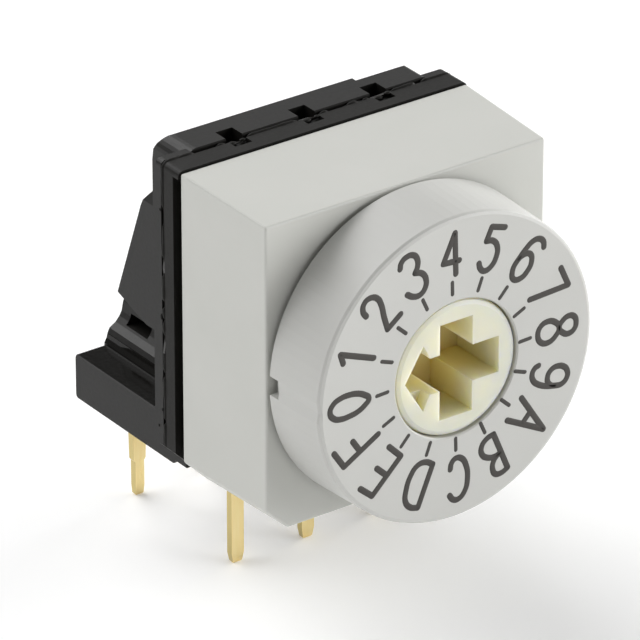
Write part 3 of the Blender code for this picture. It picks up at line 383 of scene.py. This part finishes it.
seam_curve = bpy.data.curves.new("seam", "CURVE")
seam_curve.dimensions = "3D"
seam_curve.bevel_depth = 1.0
seam_curve.bevel_resolution = 3
seam_line = seam_curve.splines.new("POLY")
seam_places = seam_path()
seam_line.points.add(len(seam_places) - 1)
seam_line.use_cyclic_u = True
for point, (x, z) in zip(seam_line.points, seam_places):
    point.radius = seam_radius(x, z)
    if z > FLANGE_TOP - SEAM_TOP_BAND:
        z -= SEAM_DIVE * max(0.0, THIN_SEAM - point.radius)
    point.co = (x, SEAM_Y + SEAM_WANDER * uneven(x, z, *WANDERING), z, 1.0)
seam_bm = solid_from(seam_curve)
for x, y, z, length, width in SEAM_DROPS:
    flat = width * DROP_FLATNESS
    half = (length, width, flat) if z > FLANGE_TOP - SEAM_TOP_BAND else (flat, width, length)
    bmesh.ops.create_icosphere(
        seam_bm, subdivisions=3, radius=1.0,
        matrix=Matrix.Translation((x, SEAM_Y + y, z)) @ Matrix.Diagonal((*half, 1.0)))
bmesh.ops.scale(seam_bm, vec=(MM, MM, MM), verts=seam_bm.verts)
bmesh.ops.recalc_face_normals(seam_bm, faces=seam_bm.faces)

# Surface-cured epoxy: black skin with a soft gloss.
seam_epoxy = moulded_plastic("epoxy_resin_skin", "#12110F", "#1A1916", 0.52, 0.20, 0.002, IOR=1.54,
                             Specular_IOR_Level=0.12)
seam = new_piece("resin_seam", seam_bm, seam_epoxy)
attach(seam, "switch_body")

# Terminal bracket: the right-angle carrier that stands the switch on its board, moulded in the
# same black compound with a slightly smoother skin.  The foot's top and the step over it come
# from a polished insert of the mould, so they mirror the dark block and plate beside them; the
# foot's top also has its shine turned down, a painted shade for the block and plate over it.
FOOT_TOP = 1.485
FOOT_SKIN = 0.012
STEP_RISE = 0.32
PLATE_BACK = -0.965
POLISHED_ROUGHNESS = 0.10
GRAINED_SHINE = 0.17
# Shine on the foot's top, turned down as painted shade.
FOOT_TOP_SHADED_SHINE = 0.045

# Black PPS, moulded: charcoal under its grain, smooth where it is polished, and nearly black on
# the foot's top, where its shine is turned down as painted shade.
bracket_pps = moulded_plastic("pps_moulded_black_bracket", "#12110F", "#191816", 0.38, 0.12, 0.0016,
                              cloud_mm=1.1, IOR=1.60, Specular_IOR_Level=GRAINED_SHINE)
tree = bracket_pps.node_tree
shader = tree.nodes["Principled BSDF"]
grained = shader.inputs["Roughness"].links[0].from_socket
place = add(tree, "SeparateXYZ", {"Vector": add(tree, "TexCoord").outputs["Object"]})
above_foot, past_plate, above_step, above_skin = (
    add(tree, "Math", {0: place.outputs[axis], 1: edge * MM}, operation="GREATER_THAN")
    for axis, edge in (("Z", FOOT_TOP - HAIR), ("Y", PLATE_BACK + HAIR),
                       ("Z", FOOT_TOP + STEP_RISE), ("Z", FOOT_TOP + FOOT_SKIN)))
on_foot = add(tree, "Math", {0: above_foot.outputs["Value"], 1: past_plate.outputs["Value"]},
              operation="MULTIPLY")
# Painted shade: the foot's top gets a lower shine, darkening it as the block and plate above would
# shade it.
polished, painted_shade_foot_top = (
    add(tree, "Math", {0: on_foot.outputs["Value"], 1: higher.outputs["Value"]},
        operation="SUBTRACT", use_clamp=True)
    for higher in (above_step, above_skin))
gloss = add(tree, "Mix", {0: polished.outputs["Value"], 2: grained, 3: POLISHED_ROUGHNESS})
shine_with_painted_shade = add(tree, "Mix", {0: painted_shade_foot_top.outputs["Value"], 2: GRAINED_SHINE, 3: FOOT_TOP_SHADED_SHINE})
tree.links.new(gloss.outputs[0], shader.inputs["Roughness"])
tree.links.new(shine_with_painted_shade.outputs[0], shader.inputs["Specular IOR Level"])
dress("terminal_bracket", bracket_pps)

# Dial knob: the round light grey disc keyed to the rotor, moulded in the same PBT as the
# housing from a finer tool.
knob_pbt = moulded_plastic("pbt_moulded_dial_grey", "#BCBCB8", "#C2C2BE", 0.46, 0.14, 0.0008, IOR=1.55)
dress("knob", knob_pbt)

# Dial print: sixteen figures and their tick marks, pad printed on the knob's face in dark
# grey ink.  The ink lies on the plastic as a film with rounded strokes, and the pad hit the
# knob a little off its middle and turned by two degrees, as such prints do.
FACE_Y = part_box("knob")[0].y / MM
AXIS_Z = (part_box("knob")[0].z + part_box("knob")[1].z) / 2 / MM
FIGURE_STROKE = 0.195
FIGURE_RADIUS = 3.665
TICK_STROKE = 0.125
TICK_START = 2.33
TICK_END = 2.71
INK_FLATNESS = 0.10
PRINT_X = -0.100
PRINT_Z = 0.085
PRINT_TURN = -1.95
FIRST_ANGLE = -90.0
DIAL_STEP = 22.5

# Strokes of each figure in mm about its middle: a first True marks a smooth line, a second
# one a closed line.
FIGURES = [
    [(True, True, [(0.02, 0.67), (0.26, 0.54), (0.36, 0.27), (0.37, 0.0), (0.32, -0.27),
                   (0.19, -0.53), (0.02, -0.68), (-0.14, -0.54), (-0.27, -0.27), (-0.31, 0.0),
                   (-0.31, 0.27), (-0.21, 0.54)])],
    [(False, False, [(0.09, -0.62), (0.11, 0.62), (-0.15, 0.42)])],
    [(True, False, [(-0.25, 0.32), (-0.20, 0.52), (0.02, 0.67), (0.26, 0.57), (0.34, 0.35),
                    (0.25, 0.08), (0.04, -0.24), (-0.20, -0.65)]),
     (False, False, [(-0.20, -0.65), (0.36, -0.74)])],
    [(True, False, [(-0.23, 0.47), (-0.12, 0.62), (0.11, 0.67), (0.32, 0.56), (0.37, 0.34),
                    (0.27, 0.12), (0.13, 0.01)]),
     (True, False, [(0.13, 0.01), (0.31, -0.15), (0.36, -0.40), (0.24, -0.64), (0.0, -0.74),
                    (-0.22, -0.63), (-0.36, -0.43)])],
    [(False, False, [(0.13, -0.72), (0.13, 0.58), (-0.30, -0.27), (0.26, -0.33)])],
    [(False, False, [(0.27, 0.61), (-0.22, 0.59), (-0.26, 0.15)]),
     (True, False, [(-0.26, 0.15), (-0.02, 0.18), (0.20, 0.02), (0.28, -0.28), (0.20, -0.59),
                    (0.0, -0.74), (-0.18, -0.67), (-0.28, -0.53)])],
    [(True, False, [(0.34, 0.58), (0.19, 0.70), (0.02, 0.70), (-0.14, 0.56), (-0.22, 0.25),
                    (-0.24, -0.17)]),
     (True, True, [(0.04, 0.19), (0.24, 0.05), (0.32, -0.25), (0.24, -0.55), (0.03, -0.67),
                   (-0.16, -0.53), (-0.24, -0.20), (-0.15, 0.08)])],
    [(False, False, [(-0.28, 0.60), (0.40, 0.60), (-0.11, -0.69)])],
    [(True, True, [(0.03, 0.69), (0.24, 0.62), (0.32, 0.42), (0.22, 0.20), (0.02, 0.08),
                   (-0.16, 0.20), (-0.25, 0.43), (-0.17, 0.62)]),
     (True, True, [(0.02, 0.08), (0.25, -0.06), (0.37, -0.33), (0.27, -0.59), (0.02, -0.69),
                   (-0.23, -0.59), (-0.32, -0.33), (-0.21, -0.06)])],
    [(True, True, [(0.04, 0.69), (0.25, 0.60), (0.34, 0.37), (0.32, 0.10), (0.09, -0.05),
                   (-0.14, 0.02), (-0.26, 0.23), (-0.25, 0.46), (-0.14, 0.62)]),
     (True, False, [(0.34, 0.37), (0.38, 0.02), (0.35, -0.30), (0.25, -0.54), (0.06, -0.66),
                    (-0.13, -0.63), (-0.22, -0.52)])],
    [(False, False, [(-0.37, -0.70), (0.0, 0.76), (0.39, -0.68)]),
     (False, False, [(-0.20, -0.09), (0.22, -0.09)])],
    [(False, False, [(-0.22, -0.69), (-0.18, 0.67)]),
     (True, False, [(-0.18, 0.67), (0.08, 0.66), (0.25, 0.55), (0.27, 0.36), (0.17, 0.16),
                    (-0.02, 0.05), (-0.20, 0.03)]),
     (True, False, [(-0.20, 0.03), (0.03, 0.01), (0.25, -0.13), (0.37, -0.38), (0.27, -0.62),
                    (0.02, -0.72), (-0.22, -0.69)])],
    [(True, False, [(0.26, 0.45), (0.14, 0.62), (-0.05, 0.67), (-0.28, 0.49), (-0.39, 0.09),
                    (-0.35, -0.33), (-0.19, -0.62), (0.01, -0.69), (0.17, -0.57), (0.21, -0.39)])],
    [(False, False, [(-0.34, -0.69), (-0.29, 0.66)]),
     (True, False, [(-0.29, 0.66), (0.0, 0.66), (0.24, 0.50), (0.35, 0.14), (0.35, -0.27),
                    (0.21, -0.62), (-0.06, -0.74), (-0.34, -0.69)])],
    [(False, False, [(0.43, 0.68), (-0.13, 0.66), (-0.20, -0.73), (0.40, -0.76)]),
     (False, False, [(-0.16, -0.05), (0.33, -0.06)])],
    [(False, False, [(0.40, 0.76), (-0.23, 0.66), (-0.10, -0.70)]),
     (False, False, [(-0.14, 0.02), (0.30, 0.09)])],
]
TICK = [(False, False, [(0.0, TICK_START), (0.0, TICK_END)])]

# Pad-printing ink, cured: nearly black, half matt, a little thinner in places.
ink = moulded_plastic("pad_printing_ink", "#2E2B27", "#3A3631", 0.48, 0.08, 0.0008, cloud_mm=0.3)


def inked(strokes, width):
    """Bmesh of round-ended strokes, flat on X and Y, in millimetres."""
    drawn = bpy.data.curves.new("stroke", "CURVE")
    drawn.dimensions = "3D"
    drawn.bevel_depth = width / 2
    drawn.bevel_resolution = 3
    drawn.use_fill_caps = True
    drawn.resolution_u = 5
    for smooth, closed, line in strokes:
        for part in [line] if smooth else zip(line, line[1:]):
            path = drawn.splines.new("BEZIER")
            path.bezier_points.add(len(part) - 1)
            path.use_cyclic_u = closed
            for point, (x, y) in zip(path.bezier_points, part):
                point.co = (x, y, 0.0)
                point.handle_left_type = point.handle_right_type = "AUTO" if smooth else "VECTOR"
    bm = solid_from(drawn)
    for smooth, closed, line in strokes:
        rounded = line if not smooth else () if closed else (line[0], line[-1])
        for x, y in rounded:
            bmesh.ops.create_icosphere(bm, subdivisions=2, radius=width / 2,
                                       matrix=Matrix.Translation((x, y, 0.0)))
    return bm


def on_dial(number, radius):
    """Matrix that lays a flat drawing on the knob's face, upright at its place on the dial."""
    angle = math.radians(DIAL_STEP * number + FIRST_ANGLE + PRINT_TURN)
    outward = Vector((math.sin(angle), 0.0, math.cos(angle)))
    along = Vector((math.cos(angle), 0.0, -math.sin(angle)))
    middle = outward * radius + Vector((PRINT_X, FACE_Y, AXIS_Z + PRINT_Z))
    turned = Matrix((
        (along.x, outward.x, 0.0, middle.x),
        (along.y, outward.y, -INK_FLATNESS, middle.y),
        (along.z, outward.z, 0.0, middle.z),
        (0.0, 0.0, 0.0, 1.0)))
    return Matrix.Scale(MM, 4) @ turned


def printed(name, drawings, width, radius):
    """One film of ink with a drawing at each place of the dial."""
    whole = bmesh.new()
    for number, strokes in enumerate(drawings):
        bm = inked(strokes, width)
        bmesh.ops.transform(bm, matrix=on_dial(number, radius), verts=bm.verts)
        bmesh.ops.recalc_face_normals(bm, faces=bm.faces)
        part = bpy.data.meshes.new("part")
        bm.to_mesh(part)
        bm.free()
        whole.from_mesh(part)
        bpy.data.meshes.remove(part)
    piece = new_piece(name, whole, ink)
    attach(piece, "dial")


printed("dial_figures", FIGURES, FIGURE_STROKE, FIGURE_RADIUS)
printed("dial_ticks", [TICK] * len(FIGURES), TICK_STROKE, 0.0)

# Floor: a plain white board under the pins' tips.  It gives off a little light of its own, so
# it stays pale in the switch's shadow.
FLOOR_HALF = 1500.0
FLOOR_GLOW = 0.08
board = new_surface("white_board", Base_Color=linear("#FFFFFF"), Roughness=0.9,
                    Emission_Color=linear("#FFFFFF"), Emission_Strength=FLOOR_GLOW)[0]
floor_bm = bmesh.new()
bmesh.ops.create_grid(floor_bm, x_segments=1, y_segments=1, size=FLOOR_HALF * MM,
                      matrix=Matrix.Translation((0.0, 0.0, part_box("terminal_front_left")[0].z)))
floor = new_piece("floor", floor_bm, board)

# Studio: a pale room with a broad soft panel low on the right, which leaves the knob's soft
# shadow on the housing's left side, and a second one high behind the switch.
SOFT_WIDTH = math.radians(44)
ROOM_LIGHT = 0.20
world = bpy.data.worlds.new("studio")
bpy.context.scene.world = world
world.use_nodes = True
world.node_tree.nodes["Background"].inputs["Color"].default_value = (1.0, 1.0, 1.0, 1.0)
world.node_tree.nodes["Background"].inputs["Strength"].default_value = ROOM_LIGHT


def soft_light(name, turn, height, power):
    """Wide soft light from a direction: degrees to the right of the knob's front, degrees up."""
    lamp = bpy.data.lights.new(name, "SUN")
    lamp.angle = SOFT_WIDTH
    lamp.energy = power
    holder = bpy.data.objects.new(name, lamp)
    turn, height = math.radians(turn), math.radians(height)
    holder.rotation_euler = Vector((
        math.sin(turn) * math.cos(height), -math.cos(turn) * math.cos(height),
        math.sin(height))).to_track_quat("Z", "Y").to_euler()
    bpy.context.scene.collection.objects.link(holder)


soft_light("panel_front_right", 45, 8, 2.35)
soft_light("panel_right", 90, 8, 2.90)
soft_light("panel_back_right", 135, 8, 0.30)
soft_light("high_back", 180, 38, 1.60)
soft_light("high_back_left", 225, 38, 1.20)
soft_light("high_left", 270, 38, 0.15)

# Camera: a long lens above and to the left of the dial, so far off that the housing's edges
# stay almost parallel.
CAMERA_PLACE = Vector((-105.263, -149.218, 97.724)) * MM
CAMERA_AIM = Vector((-1.501, -5.346, 5.323)) * MM
lens =bpy.data.cameras.new("camera")
lens.lens = 392.7
lens.sensor_width = 36.0
lens.clip_start = 0.01
lens.clip_end = 10.0
camera = bpy.data.objects.new("camera", lens)
camera.location = CAMERA_PLACE
camera.rotation_euler = (CAMERA_AIM - CAMERA_PLACE).to_track_quat("-Z", "Y").to_euler()
bpy.context.scene.collection.objects.link(camera)
bpy.context.scene.camera = camera
bpy.context.scene.view_settings.view_transform = "Standard"
